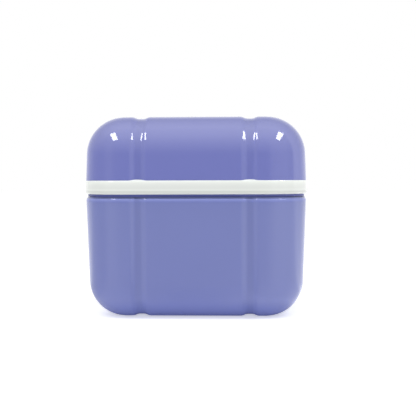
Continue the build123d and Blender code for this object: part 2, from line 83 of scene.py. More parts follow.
BUTTON_Z = 41.5
BUTTON_OPENING = (18.6, 8.6)
OPENING_INWARDS, OPENING_OUTWARDS = 5.0, 1.0
SPRING_PAD, SPRING_SEAT = 31.8, 38.0
SPRING_RADIUS, SPRING_WIRE = 1.95, 0.25
SPRING_TURNS = 6.5
TURN_STEPS, WIRE_SIDES = 24, 10

MIRROR_HALF = (26.0, 18.0)
MIRROR_RADIUS = 6.0
MIRROR_BEVEL, MIRROR_BEVEL_DEPTH = 1.0, 0.2
MIRROR_SHARP = 8.0
# an edge face of the mirror's plate looks up or down by less than this
MIRROR_UPRIGHT = 0.1

TUFT_PITCH = 2.2
TUFT_COLUMNS, TUFT_ROWS = 9, 3
TUFT_ROOT, TUFT_FILAMENTS = 0.62, 26
TUFT_SPREAD, TUFT_SEED = 0.022, 7
FILAMENT_RADIUS, FILAMENT_TIP = 0.085, 0.7
FILAMENT_LENGTHS = (0.975, 0.997)
FILAMENT_SIDES, FILAMENT_SEGMENTS = 5, 2
GOLDEN_ANGLE = math.pi * (3 - math.sqrt(5))

# edges sharper than this stay hard, in degrees
SHARP = 32.0
# how finely the meshes are divided
CORNER_STEPS, STRAIGHT_STEPS = 18, 8
GROOVE_STEPS, EDGE_STEPS, CAVITY_STEPS, WALL_STEPS = 9, 30, 12, 8
EASE_STEPS, RIM_STEPS, SLOT_STEPS = 8, 5, 16
RING_STEPS, SHOULDER_STEPS, MIRROR_STEPS = 8, 6, 8
FLAT_COLUMNS = (4.0, 9.0, 14.0, 17.9, 26.1)
ROW_REACH, ROW_STEPS = 18.0, 6


# ---------------------------------------------------------------- materials
def node(tree, kind, inputs=(), **settings):
    """A node with its settings and its unlinked inputs."""
    made = tree.nodes.new(kind)
    for key, value in settings.items():
        setattr(made, key, value)
    for key, value in dict(inputs).items():
        made.inputs[key].default_value = value
    return made


def maths(tree, operation, first, second=None):
    """Result of a maths node on sockets or numbers."""
    made = node(tree, "ShaderNodeMath", operation=operation)
    for i, value in enumerate((first, second)):
        if value is None:
            continue
        if isinstance(value, (int, float)):
            made.inputs[i].default_value = value
        else:
            tree.links.new(value, made.inputs[i])
    return made.outputs[0]


def curve(tree, value, points):
    """Smooth curve through points, at a value from 0 to 1."""
    ramp = node(tree, "ShaderNodeFloatCurve")
    line = ramp.mapping.curves[0]
    ramp.mapping.use_clip = False
    for i, (x, y) in enumerate(points):
        if i < 2:
            line.points[i].location = (x, y)
        else:
            line.points.new(x, y)
    for point in line.points:
        point.handle_type = "AUTO_CLAMPED"
    ramp.mapping.update()
    tree.links.new(value, ramp.inputs["Value"])
    return ramp.outputs[0]


def vector_maths(tree, operation, *values):
    """Result of a vector maths node on sockets or constants: a vector, or a length or product."""
    made = node(tree, "ShaderNodeVectorMath", operation=operation)
    for i, value in enumerate(values):
        if isinstance(value, bpy.types.NodeSocket):
            tree.links.new(value, made.inputs[i])
        else:
            made.inputs[i].default_value = value
    return made.outputs["Value" if operation in ("LENGTH", "DOT_PRODUCT") else "Vector"]


def mapped(tree, value, span, onto=(0.0, 1.0), smooth=False):
    """Value taken from one range onto another and held within it."""
    made = node(tree, "ShaderNodeMapRange", {
        "From Min": span[0], "From Max": span[1], "To Min": onto[0], "To Max": onto[1]},
        interpolation_type="SMOOTHSTEP" if smooth else "LINEAR")
    tree.links.new(value, made.inputs["Value"])
    return made.outputs[0]


def noise(tree, place, scale, detail, roughness=0.5):
    """Noise at a place, from 0 to 1."""
    made = node(tree, "ShaderNodeTexNoise", {"Scale": scale, "Detail": detail,
                                             "Roughness": roughness})
    tree.links.new(place, made.inputs["Vector"])
    return made.outputs["Fac"]


def stretched(tree, place, scale, turned=(0.0, 0.0, 0.0)):
    """Place turned and scaled per axis, for noise drawn out along one axis."""
    made = node(tree, "ShaderNodeMapping", {"Rotation": turned, "Scale": scale})
    tree.links.new(place, made.inputs["Vector"])
    return made.outputs[0]


def coordinates(tree, vector):
    """The three coordinates of a vector."""
    axes = node(tree, "ShaderNodeSeparateXYZ")
    tree.links.new(vector, axes.inputs[0])
    return axes.outputs


def object_place(tree):
    """Position on the piece, and its three coordinates."""
    place = node(tree, "ShaderNodeTexCoord").outputs["Object"]
    return place, coordinates(tree, place)


def new_material(name):
    """An empty material with a principled shader: (material, tree, shader)."""
    material = bpy.data.materials.new(name)
    material.use_nodes = True
    tree = material.node_tree
    tree.nodes.clear()
    shader = node(tree, "ShaderNodeBsdfPrincipled")
    output = node(tree, "ShaderNodeOutputMaterial")
    tree.links.new(shader.outputs[0], output.inputs["Surface"])
    return material, tree, shader


def linear(hex_colour):
    """Linear colour of an sRGB hex value."""
    channels = [int(hex_colour[i:i + 2], 16) / 255 for i in (0, 2, 4)]
    return [c / 12.92 if c <= 0.04045 else ((c + 0.055) / 1.055) ** 2.4 for c in channels]


# noise of the plastics: scales per metre, heights of the broad ripple and the fine grain
CLOUD_SCALE, MARKS_SCALE, FLOW_SCALE, GRAIN_SCALE = 45.0, 140.0, 60.0, 900.0
FLOW_HEIGHT, GRAIN_HEIGHT, SATIN_GRAIN = 0.01 * MM, 0.002 * MM, 0.003 * MM
# handling marks: the noise that counts, and the shares of the roughness that it gives
MARKS_SPAN, MARKS_ROUGH = (0.3, 0.75), (0.8, 1.3)
# two sets of hairlines: how each is turned, how its noise is drawn out, the noise that shows
HAIRLINE_TURNS = ((0.3, 0.2, 0.5), (-0.4, 0.9, -0.8))
HAIRLINE_SCALE = (2600.0, 2600.0, 45.0)
HAIRLINE_SPAN = (0.66, 0.74)
# millimetres below the lower shell's rim at which its duller band starts and is complete
WORN_START, WORN_FULL = 1.6, 0.8
# shares of a colour in the painted light and shade by height lie below this, which is 1 on their
# curve
PAINTED_SHARE_TOP = 1.5
# how deep light scatters in the translucent plastics, and each channel's share of that
SCATTER_DEPTH = 3.0 * MM
SCATTER_SHARES = (0.4, 0.4, 1.0)
# share of a metal's colour in its darkest lines
METAL_DARKEST = 0.93


def cloudy(tree, place, colour, mottle):
    """Colour with faint clouds, lighter and darker by the mottle."""
    tint = node(tree, "ShaderNodeMix", {6: [c * (1 - mottle) for c in colour] + [1],
                                        7: [min(1, c * (1 + mottle)) for c in colour] + [1]},
                data_type="RGBA")
    tree.links.new(noise(tree, place, CLOUD_SCALE, 3.0, 0.6), tint.inputs[0])
    return tint.outputs[2]


def painted_light_share(tree, z, painted_light_by_height):
    """Painted light and shade by height: share of the colour from pairs of millimetres and share.
    """
    low, high = painted_light_by_height[0][0], painted_light_by_height[-1][0]
    level = mapped(tree, z, (low * MM, high * MM))
    share = curve(tree, level, [((at - low) / (high - low), k / PAINTED_SHARE_TOP) for at, k in painted_light_by_height])
    return maths(tree, "MULTIPLY", share, PAINTED_SHARE_TOP)


def painted_groove_shade(tree, x, groove_painted_shade):
    """Painted shade: share of the colour across the case, less on the floors of the grooves."""
    across = maths(tree, "SUBTRACT", maths(tree, "ABSOLUTE", x), GROOVE_X * MM)
    return mapped(tree, maths(tree, "ABSOLUTE", across), (GROOVE_FLOOR * MM, GROOVE_LIP / 2 * MM),
                  (1 - groove_painted_shade, 1.0), smooth=True)


def dullness(tree, place, z, rough, hairlines, worn):
    """Roughness with handling marks, hairlines and a worn rim."""
    dull = mapped(tree, noise(tree, place, MARKS_SCALE, 5.0, 0.7), MARKS_SPAN,
                  [rough * k for k in MARKS_ROUGH])
    for turned in HAIRLINE_TURNS if hairlines else ():
        streaks = noise(tree, stretched(tree, place, HAIRLINE_SCALE, turned), 1.0, 1.0)
        dull = maths(tree, "ADD", dull, mapped(tree, streaks, HAIRLINE_SPAN, (0.0, hairlines)))
    if worn:
        band = ((SHELL_RIM - WORN_START) * MM, (SHELL_RIM - WORN_FULL) * MM)
        dull = maths(tree, "ADD", dull, mapped(tree, z, band, (0.0, worn), smooth=True))
    return dull


def rippled(tree, place, grain_height):
    """Normal with a broad moulding ripple and a fine grain on it."""
    normal = None
    for scale, detail, depth in ((FLOW_SCALE, 1.0, FLOW_HEIGHT),
                                 (GRAIN_SCALE, 2.0, grain_height)):
        bump = node(tree, "ShaderNodeBump", {"Strength": 1.0, "Distance": depth})
        tree.links.new(noise(tree, place, scale, detail), bump.inputs["Height"])
        if normal is not None:
            tree.links.new(normal, bump.inputs["Normal"])
        normal = bump.outputs[0]
    return normal


def plastic(name, colour, rough=0.12, mottle=0.03, grain_height=GRAIN_HEIGHT, subsurface=0.0,
            specular=0.5, groove_painted_shade=0.0, painted_light_by_height=(), deepen=(1.0, 1.0, 1.0), hairlines=0.0, worn=0.0):
    """Moulded plastic: faint cloudiness, handling marks in the gloss, fine and broad ripple.

    The groove value paints shade: the floors of the case's grooves are made that much darker.
    The value by height paints light and shade: pairs of height in millimetres and share of the
    colour, lowest first; deepen says how fully each channel takes that painted shade.
    Hairlines are fine scratches, by how much duller they are. Worn is how much duller the rim
    of the lower shell is."""
    material, tree, shader = new_material(name)
    place, (x, _, z) = object_place(tree)
    painted = cloudy(tree, place, linear(colour), mottle)
    # painted light and shade: the colour's share by height, and painted shade on the groove floors
    shades = [painted_light_share(tree, z, painted_light_by_height)] if painted_light_by_height else []
    shades += [painted_groove_shade(tree, x, groove_painted_shade)] if groove_painted_shade else []
    if shades:
        shade = maths(tree, "MULTIPLY", *shades) if len(shades) > 1 else shades[0]
        kept = vector_maths(tree, "MULTIPLY_ADD", shade, deepen, [1 - d for d in deepen])
        painted = vector_maths(tree, "MULTIPLY", kept, painted)
    tree.links.new(painted, shader.inputs["Base Color"])
    tree.links.new(dullness(tree, place, z, rough, hairlines, worn), shader.inputs["Roughness"])
    tree.links.new(rippled(tree, place, grain_height), shader.inputs["Normal"])
    shader.inputs["Specular IOR Level"].default_value = specular
    if subsurface:
        shader.inputs["Subsurface Weight"].default_value = subsurface
        shader.inputs["Subsurface Radius"].default_value = SCATTER_SHARES
        shader.inputs["Subsurface Scale"].default_value = SCATTER_DEPTH
    return material


# the floors of the grooves get painted shade
shell_plastic = plastic("gloss_periwinkle_plastic", "6f75b5", rough=0.045, mottle=0.02,
                        groove_painted_shade=0.04, hairlines=0.03)
# painted highlight: a lighter band just below the rim; painted shade: the bead on the rim, in the
# seam under the white band, is darker; the groove floors get painted shade
lower_plastic = plastic("gloss_periwinkle_lower", "6b74ae", rough=0.05, mottle=0.02,
                        groove_painted_shade=0.07, hairlines=0.03, worn=0.14, painted_light_by_height=(
    (46.4, 1.0), (46.9, 1.08), (47.5, 1.24), (48.0, 1.24), (48.18, 1.0), (48.28, 0.68),
    (48.6, 0.64), (48.7, 1.0)))
satin = {"rough": 0.42, "grain_height": SATIN_GRAIN, "specular": 0.3}
inner_plastic = plastic("satin_periwinkle_plastic", "6b71b2", **satin)
# painted shade: the neck in the seam under the white band is darker and bluer; the rest of the
# liner keeps its colour
neck_plastic = plastic("satin_neck_plastic", "6b71b2", deepen=(1.0, 0.96, 0.72), painted_light_by_height=(
    (48.9, 0.51), (50.3, 0.53), (51.2, 1.0), (52.0, 1.0)), **satin)
# painted light and shade: bands up the white band, lightest at the top and darker low down
ring_plastic = plastic("gloss_white_plastic", "f0f4ef", rough=0.15, mottle=0.015, painted_light_by_height=(
    (49.8, 0.77), (50.4, 0.70), (50.8, 0.68), (51.2, 0.76), (51.7, 0.83), (52.3, 0.79),
    (53.4, 0.82), (54.2, 0.88), (55.2, 0.98)))
button_plastic = plastic("button_plastic", "e4e6e0", rough=0.17, mottle=0.015)
basket_plastic = plastic("basket_plastic", "e8eae6", rough=0.4, mottle=0.02, subsurface=0.15)
brush_plastic = plastic("brush_plastic", "e2e5e2", rough=0.18, mottle=0.015, subsurface=0.1)
bristle_nylon = plastic("bristle_nylon", "c8cee6", rough=0.4, mottle=0.05, subsurface=0.2)
seal_rubber = plastic("seal_silicone", "d8dbdc", rough=0.5, mottle=0.03, subsurface=0.3,
                      specular=0.35)
tape_foam = plastic("mounting_tape", "c8c8c4", rough=0.8, mottle=0.08, specular=0.2)


def metal(name, colour, rough, streak_scale, streak=0.15):
    """Metal with fine drawn lines: the streak scale is per axis, small along the lines."""
    material, tree, shader = new_material(name)
    place, _ = object_place(tree)
    lines = noise(tree, stretched(tree, place, streak_scale), 1.0, 4.0, 0.6)
    dull = mapped(tree, lines, (0.0, 1.0), (rough * (1 - streak), rough * (1 + 2 * streak)))
    tree.links.new(dull, shader.inputs["Roughness"])
    dark, light = ([c * k for c in linear(colour)] + [1] for k in (METAL_DARKEST, 1.0))
    tint = node(tree, "ShaderNodeMix", {6: dark, 7: light}, data_type="RGBA")
    tree.links.new(lines, tint.inputs[0])
    tree.links.new(tint.outputs[2], shader.inputs["Base Color"])
    shader.inputs["Metallic"].default_value = 1.0
    return material


pin_steel = metal("ground_steel", "c9c9c6", 0.18, (30, 6000, 6000))
spring_steel = metal("drawn_wire_steel", "bfc0c0", 0.34, (3000, 600, 3000))
mirror_silver = metal("silvered_acrylic", "d8dedf", 0.02, (60, 60, 60), 0.3)
mirror_side = plastic("acrylic_edge", "b9c8c4", rough=0.12, mottle=0.04)


# ---------------------------------------------------------------- mesh tools
def smooth(mesh, angle=SHARP):
    """Smooth faces, with the edges that are sharper than the angle kept."""
    mesh.shade_smooth()
    mesh.set_sharp_from_angle(angle=math.radians(angle))


def link_mesh(name, mesh, material, angle=SHARP):
    """Object of the mesh with its material, smooth but for its sharp edges."""
    mesh.materials.clear()
    mesh.materials.append(material)
    smooth(mesh, angle)
    obj = bpy.data.objects.new(name, mesh)
    bpy.context.scene.collection.objects.link(obj)
    return obj


def steps(start, end, count):
    """Evenly spaced values, both ends included."""
    return [start + (end - start) * i / count for i in range(count + 1)]


def arc(rho, z, radius, first, last, count):
    """Points of a profile arc with their normals: (rho, z, outward rho, outward z)."""
    points = []
    for angle in steps(first, last, count):
        c, s = math.cos(angle), math.sin(angle)
        points.append((rho + radius * c, z + radius * s, c, s))
    return points


def groove_profile():
    """Half section of a groove: (distance from its middle, depth), floor to lip."""
    run = GROOVE_LIP - GROOVE_FLOOR
    slope = 2 * math.atan2(GROOVE_DEPTH, run)
    blend = run / (2 * math.sin(slope))
    points = [(0.0, GROOVE_DEPTH)]
    for angle in steps(0, slope, GROOVE_STEPS):
        points.append((GROOVE_FLOOR + blend * math.sin(angle),
                       GROOVE_DEPTH - blend * (1 - math.cos(angle))))
    for angle in steps(slope, 0, GROOVE_STEPS)[1:]:
        points.append((GROOVE_LIP - blend * math.sin(angle), blend * (1 - math.cos(angle))))
    return points


def shell_columns():
    """Columns across a shell with the groove depth at each: (x, depth)."""
    section = groove_profile()
    half = [(GROOVE_X + s * d, g) for d, g in section for s in (-1, 1) if s > 0 or d > 0]
    half += [(x, 0.0) for x in FLAT_COLUMNS + (CORE_X,)]
    half.sort()
    return [(-x, g) for x, g in reversed(half)] + [(0.0, 0.0)] + half


def cup(rings, caps):
    """Closed cup: rings go from one capped end round the rim to the other capped end.

    A ring gives (rho, z) for a groove depth. The first and the last lie at rho 0. Caps says
    which way the closed side of the cup looks, up or down."""
    points, faces = [], []
    loop = [(x, -CORE_Y, 0.0, -1.0, g) for x, g in COLUMNS]

    def corner(x, y, first):
        for angle in steps(first, first + math.pi / 2, CORNER_STEPS)[1:-1]:
            loop.append((x, y, math.cos(angle), math.sin(angle), 0.0))

    corner(CORE_X, -CORE_Y, -math.pi / 2)
    loop += [(CORE_X, y, 1.0, 0.0, 0.0) for y in ROWS]
    corner(CORE_X, CORE_Y, 0.0)
    loop += [(x, CORE_Y, 0.0, 1.0, g) for x, g in reversed(COLUMNS)]
    corner(-CORE_X, CORE_Y, math.pi / 2)
    loop += [(-CORE_X, y, -1.0, 0.0, 0.0) for y in reversed(ROWS)]
    corner(-CORE_X, -CORE_Y, math.pi)
    count = len(loop)

    grids = []
    for ring in (rings[0], rings[-1]):
        grid = {}
        for x, g in COLUMNS:
            for y in ROWS:
                grid[(x, y)] = len(points)
                points.append((x, y, ring(g)[1]))
        grids.append(grid)
        flip = len(grids) == (2 if caps == "up" else 1)
        for (x0, _), (x1, _) in zip(COLUMNS, COLUMNS[1:]):
            for y0, y1 in zip(ROWS, ROWS[1:]):
                face = [grid[(x0, y0)], grid[(x1, y0)], grid[(x1, y1)], grid[(x0, y1)]]
                faces.append(face[::-1] if flip else face)

    def ring_ids(ring):
        first = len(points)
        for x, y, nx, ny, g in loop:
            rho, z = ring(g)
            points.append((x + rho * nx, y + rho * ny, z))
        return list(range(first, first + count))

    rows_of_ids = [[grids[0][(x, y)] for x, y, *_ in loop]]
    rows_of_ids += [ring_ids(ring) for ring in rings[1:-1]]
    rows_of_ids.append([grids[1][(x, y)] for x, y, *_ in loop])
    for inner, outer in zip(rows_of_ids, rows_of_ids[1:]):
        for i in range(count):
            j = (i + 1) % count
            corners = [outer[i], outer[j], inner[j], inner[i]]
            face = list(dict.fromkeys(corners))
            if len(face) > 2:
                faces.append(face if caps == "up" else face[::-1])
    return points, faces


def loop_ring(profile):
    """Closed band round the case from a closed profile of (rho, z), clockwise seen from inside."""
    points, faces, loop = [], [], []
    sides = [(1, -1, -math.pi / 2), (1, 1, 0.0), (-1, 1, math.pi / 2), (-1, -1, math.pi)]
    for (sx, sy, first), (tx, ty, _) in zip(sides, sides[1:] + sides[:1]):
        for angle in steps(first, first + math.pi / 2, CORNER_STEPS):
            loop.append((sx * CORE_X, sy * CORE_Y, math.cos(angle), math.sin(angle)))
        nx, ny = math.cos(first + math.pi / 2), math.sin(first + math.pi / 2)
        for t in steps(0, 1, STRAIGHT_STEPS)[1:-1]:
            loop.append((CORE_X * (sx + (tx - sx) * t), CORE_Y * (sy + (ty - sy) * t), nx, ny))
    count, width = len(loop), len(profile)
    for x, y, nx, ny in loop:
        points += [(x + rho * nx, y + rho * ny, z) for rho, z in profile]
    for i in range(count):
        j = (i + 1) % count
        for k in range(width):
            m = (k + 1) % width
            faces.append([i * width + k, j * width + k, j * width + m, i * width + m])
    return points, faces


def mesh_of(name, points, faces):
    """Mesh in metres with its faces turned outwards."""
    mesh = bpy.data.meshes.new(name)
    mesh.from_pydata([[c * MM for c in p] for p in points], [], faces)
    work = bmesh.new()
    work.from_mesh(mesh)
    bmesh.ops.recalc_face_normals(work, faces=work.faces)
    work.to_mesh(mesh)
    work.free()
    return mesh


def evaluated_mesh(obj):
    """Plain mesh of the object with its modifiers applied."""
    bpy.context.view_layer.update()
    graph = bpy.context.evaluated_depsgraph_get()
    return bpy.data.meshes.new_from_object(obj.evaluated_get(graph))


def cut_with(obj, cutter):
    """Subtracts the cutter from the object's mesh and deletes the cutter."""
    modifier = obj.modifiers.new("opening", "BOOLEAN")
    modifier.operation = "DIFFERENCE"
    modifier.solver = "EXACT"
    modifier.object = cutter
    result = evaluated_mesh(obj)
    obj.modifiers.clear()
    obj.data = result
    bpy.data.objects.remove(cutter)


# ---------------------------------------------------------------- outer shells
COLUMNS = shell_columns()
ROWS = [-CORE_Y] + steps(-ROW_REACH, ROW_REACH, ROW_STEPS) + [CORE_Y]
COS, SIN, TAN = math.cos(DRAFT), math.sin(DRAFT), math.tan(DRAFT)


def pushed(rho, z, out_rho, out_z):
    """Ring of the outer skin that a groove presses in along the surface's normal."""
    return lambda g: (rho - g * out_rho, z - g * out_z)


def fixed(rho, z):
    """Ring that no groove reaches."""
    return lambda g: (rho, z)


def outer_skin(rim, end, edge_radius, rim_drop=0.0):
    """Rings from the closed end to the start of the rim's round: flat, edge, drafted wall."""
    up = 1 if end > rim else -1
    end_rho = PLAN_RADIUS - abs(end - rim) * TAN
    reach = edge_radius * math.tan((math.pi / 2 - DRAFT) / 2)
    middle_rho, middle_z = end_rho - reach, end - up * edge_radius
    rings = [pushed(0.0, end, 0, up), pushed(middle_rho / 2, end, 0, up)]
    for rho, z, out_rho, out_z in arc(middle_rho, 0, edge_radius, math.pi / 2, DRAFT, EDGE_STEPS):
        rings.append(pushed(rho, middle_z + up * z, out_rho, up * out_z))
    top = middle_z + up * edge_radius * SIN
    for z in steps(top, rim + up * rim_drop, WALL_STEPS)[1:-1]:
        rings.append(pushed(PLAN_RADIUS - abs(z - rim) * TAN, z, 1 / COS, 0))
    return rings


def cavity(rim, end, edge_radius):
    """Rings of the cavity from the rim to its closed end, no grooves."""
    up = 1 if end > rim else -1
    end_rho = PLAN_RADIUS - WALL - abs(end - rim) * TAN
    reach = edge_radius * math.tan((math.pi / 2 - DRAFT) / 2)
    middle_rho, middle_z = end_rho - reach, end - up * edge_radius
    rings = [fixed(rho, middle_z + up * z)
             for rho, z, _, _ in arc(middle_rho, 0, edge_radius, DRAFT, math.pi / 2,
                                     CAVITY_STEPS)]
    rings.append(fixed(0.0, end))
    return rings


def lid_edge(g):
    """Outer lower edge of the lid, which follows the ring's slope into a groove."""
    inwards = g / COS / (1 - RING_SLOPE * TAN)
    return PLAN_RADIUS - inwards, LID_RIM + RING_SLOPE * inwards


lid_rings = outer_skin(LID_RIM, CROWN, CROWN_EDGE)
lid_rings.append(lid_edge)
lid_rings.append(fixed(PLAN_RADIUS - WALL, LID_RIM + RING_SLOPE * WALL))
lid_rings += cavity(LID_RIM, CROWN - WALL, CROWN_EDGE - WALL)
lid = link_mesh("lid_shell_skin", mesh_of("lid_shell_skin", *cup(lid_rings, "up")), shell_plastic)

# the lower shell's wall leans in by a gentle arc below the tight round along its rim
rim_drop = RIM_ROUND + (RIM_EASE - RIM_ROUND) * math.sin(RIM_EASE_ANGLE) + RIM_EASE * SIN
rim_rho = (PLAN_RADIUS - rim_drop * TAN - RIM_EASE * COS
           + (RIM_EASE - RIM_ROUND) * math.cos(RIM_EASE_ANGLE))
ease_rho = rim_rho - (RIM_EASE - RIM_ROUND) * math.cos(RIM_EASE_ANGLE)
ease_z = SHELL_RIM - RIM_ROUND - (RIM_EASE - RIM_ROUND) * math.sin(RIM_EASE_ANGLE)
lower_rings = outer_skin(SHELL_RIM, 0.0, BASE_EDGE, rim_drop)
for rho, z, _, _ in (arc(ease_rho, ease_z, RIM_EASE, -DRAFT, RIM_EASE_ANGLE, EASE_STEPS)
                     + arc(rim_rho, SHELL_RIM - RIM_ROUND, RIM_ROUND, RIM_EASE_ANGLE,
                           math.pi / 2, RIM_STEPS)[1:]):
    lower_rings.append(pushed(rho, z, 1 / COS, 0))
ledge_rho = PLAN_RADIUS - LEDGE_WALL


def bead(rise):
    """Outer edge of the bead along the rim, which narrows to nothing in a groove."""
    return lambda g: (rim_rho - (rim_rho - ledge_rho) * g / GROOVE_DEPTH, SHELL_RIM + rise)


# the ledge's wall stands a step inside the bead, so that no face closes up in a groove
wall_rho = ledge_rho - LEDGE_STEP
lower_rings += [bead(0.0), bead(RIM_BEAD), fixed(wall_rho, SHELL_RIM + RIM_BEAD),
                fixed(wall_rho, SHELL_RIM - LEDGE_DROP),
                fixed(PLAN_RADIUS - WALL - LEDGE_DROP * TAN, SHELL_RIM - LEDGE_DROP)]
lower_rings += cavity(SHELL_RIM, WALL, BASE_EDGE - WALL)
lower = link_mesh("lower_shell_skin", mesh_of("lower_shell_skin", *cup(lower_rings, "down")),
                  lower_plastic)

# the button's opening, cut through the wall on the hidden side
slot_radius = BUTTON_OPENING[1] / 2
slot_half = BUTTON_OPENING[0] / 2 - slot_radius
outline = [(slot_half + slot_radius * math.cos(a), slot_radius * math.sin(a))
           for a in steps(-math.pi / 2, math.pi / 2, SLOT_STEPS)]
outline += [(-x, -z) for x, z in outline]
count = len(outline)
slot_points = [(x, y, BUTTON_Z + z)
               for y in (HALF_DEPTH - OPENING_INWARDS, HALF_DEPTH + OPENING_OUTWARDS)
               for x, z in outline]
slot_faces = [[i, (i + 1) % count, count + (i + 1) % count, count + i] for i in range(count)]
slot_faces += [list(range(count)), list(range(count, 2 * count))[::-1]]
cut_with(lower, link_mesh("button_slot", mesh_of("button_slot", slot_points, slot_faces),
                          lower_plastic))
smooth(lower.data)


# ---------------------------------------------------------------- trim ring
shoulder = math.pi / 2 - math.atan(RING_SLOPE)
shoulder_reach = RING_SHOULDER * math.tan(shoulder / 2)
ring_profile = [(RING_IN, RING_BOTTOM)]
ring_profile += [(RING_OUT - RING_ROUND + RING_ROUND * math.cos(a),
                  RING_BOTTOM + RING_ROUND + RING_ROUND * math.sin(a))
                 for a in steps(-math.pi / 2, 0, RING_STEPS)]
ring_profile += [(RING_OUT, RING_BOTTOM + z) for z in RING_LEVELS]
ring_profile += [(RING_OUT - RING_SHOULDER + RING_SHOULDER * math.cos(a),
                  RING_TOP - shoulder_reach + RING_SHOULDER * math.sin(a))
                 for a in steps(0, shoulder, SHOULDER_STEPS)]
ring_profile += [(RING_IN, RING_TOP + RING_SLOPE * (RING_OUT - RING_IN))]
ring = link_mesh("trim_ring_band", mesh_of("trim_ring_band", *loop_ring(ring_profile)),
                 ring_plastic)


# ---------------------------------------------------------------- mirror
def rounded_outline(half_x, half_y, radius):
    """Points round a rounded rectangle."""
    points = []
    for i, (sx, sy) in enumerate(((1, -1), (1, 1), (-1, 1), (-1, -1))):
        for angle in steps(i * math.pi / 2 - math.pi / 2, i * math.pi / 2, MIRROR_STEPS):
            points.append((sx * (half_x - radius) + radius * math.cos(angle),
                           sy * (half_y - radius) + radius * math.sin(angle)))
    return points


mirror_low, mirror_high = (v.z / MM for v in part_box("mirror"))
mirror_points, mirror_faces = [], []
mirror_levels = ((0.0, mirror_high), (0.0, mirror_low + MIRROR_BEVEL_DEPTH),
                 (MIRROR_BEVEL, mirror_low))
for inset, z in mirror_levels:
    mirror_points += [(x, y, z) for x, y in rounded_outline(
        MIRROR_HALF[0] - inset, MIRROR_HALF[1] - inset, MIRROR_RADIUS - inset)]
around = len(mirror_points) // len(mirror_levels)
for level in range(len(mirror_levels) - 1):
    for i in range(around):
        j = (i + 1) % around
        mirror_faces.append([level * around + i, level * around + j,
                             (level + 1) * around + j, (level + 1) * around + i])
mirror_faces += [list(range(around)), list(range(2 * around, 3 * around))]
mirror = link_mesh("mirror_plate", mesh_of("mirror_plate", mirror_points, mirror_faces),
                   mirror_silver, MIRROR_SHARP)
mirror.data.materials.append(mirror_side)
for face in mirror.data.polygons:
    if abs(face.normal.z) < MIRROR_UPRIGHT:
        face.material_index = 1


# ---------------------------------------------------------------- repeats
class Growth:
    """A geometry tree that is built step by step and then made a plain mesh."""

    def __init__(self, name, inputs):
        self.name = name
        self.tree = bpy.data.node_groups.new(name, "GeometryNodeTree")
        face = self.tree.interface
        face.new_socket("Geometry", in_out="OUTPUT", socket_type="NodeSocketGeometry")
        self.identifiers = {}
        self.values = {}
        for label, (kind, value) in inputs.items():
            socket = face.new_socket(label, in_out="INPUT", socket_type="NodeSocket" + kind)
            self.identifiers[label] = socket.identifier
            self.values[label] = value
        self.given = node(self.tree, "NodeGroupInput").outputs

    def add(self, kind, links=None, inputs=(), **settings):
        """A node with its settings, plain inputs and inputs linked from other sockets."""
        made = node(self.tree, kind, inputs, **settings)
        for key, source in (links or {}).items():
            self.tree.links.new(source, made.inputs[key])
        return made

    def maths(self, operation, first, second=None):
        """Result of a maths node on sockets or numbers."""
        return maths(self.tree, operation, first, second)

    def finished(self, geometry, material):
        """Mesh object of the tree's result, with nothing live left on it."""
        smooth = self.add("GeometryNodeSetShadeSmooth", {"Geometry": geometry})
        real = self.add("GeometryNodeRealizeInstances", {"Geometry": smooth.outputs[0]})
        painted = self.add("GeometryNodeSetMaterial", {"Geometry": real.outputs[0]},
                           {"Material": material})
        output = node(self.tree, "NodeGroupOutput")
        self.tree.links.new(painted.outputs[0], output.inputs[0])
        obj = bpy.data.objects.new(self.name, bpy.data.meshes.new(self.name))
        modifier = obj.modifiers.new(self.name, "NODES")
        modifier.node_group = self.tree
        for label, value in self.values.items():
            modifier[self.identifiers[label]] = value
        bpy.context.scene.collection.objects.link(obj)
        mesh = evaluated_mesh(obj)
        obj.modifiers.clear()
        obj.data = mesh
        return obj


# bristles: filaments of a tuft on a sunflower pattern, tufts on a grid
bristle_low, bristle_high = (Vector(corner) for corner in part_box("brush_bristles"))
bristle_middle = (bristle_low + bristle_high) / 2
growth = Growth("brush_filaments", {
    "Columns": ("Int", TUFT_COLUMNS), "Rows": ("Int", TUFT_ROWS),
    "Pitch": ("Float", TUFT_PITCH * MM), "Root Radius": ("Float", TUFT_ROOT * MM),
    "Filaments": ("Int", TUFT_FILAMENTS), "Filament Radius": ("Float", FILAMENT_RADIUS * MM),
    "Height": ("Float", bristle_high.z - bristle_low.z), "Spread": ("Float", TUFT_SPREAD),
    "Seed": ("Int", TUFT_SEED),
    "Place": ("Vector", (bristle_middle.x, bristle_middle.y, bristle_low.z)),
})
given = growth.given
filament = growth.add("GeometryNodeMeshCone", {
    "Radius Bottom": given["Filament Radius"], "Depth": given["Height"],
    "Radius Top": growth.maths("MULTIPLY", given["Filament Radius"], FILAMENT_TIP)},
    {"Vertices": FILAMENT_SIDES, "Side Segments": FILAMENT_SEGMENTS})
number = growth.add("GeometryNodeInputIndex").outputs[0]
share = growth.maths("DIVIDE", growth.maths("ADD", number, 0.5), given["Filaments"])
share = growth.maths("SQRT", share)
turn = growth.maths("MULTIPLY", number, GOLDEN_ANGLE)
root = growth.maths("MULTIPLY", share, given["Root Radius"])
spot = growth.add("ShaderNodeCombineXYZ", {
    0: growth.maths("MULTIPLY", root, growth.maths("COSINE", turn)),
    1: growth.maths("MULTIPLY", root, growth.maths("SINE", turn))}).outputs[0]
roots = growth.add("GeometryNodePoints", {"Count": given["Filaments"], "Position": spot})
lean = growth.add("ShaderNodeVectorMath", {0: spot, "Scale": growth.maths(
    "DIVIDE", given["Spread"], given["Root Radius"])}, operation="SCALE")
upright = growth.add("ShaderNodeVectorMath", {0: lean.outputs[0]}, {1: (0, 0, 1)},
                     operation="ADD")
aligned = growth.add("FunctionNodeAlignRotationToVector", {"Vector": upright.outputs[0]}, axis="Z")
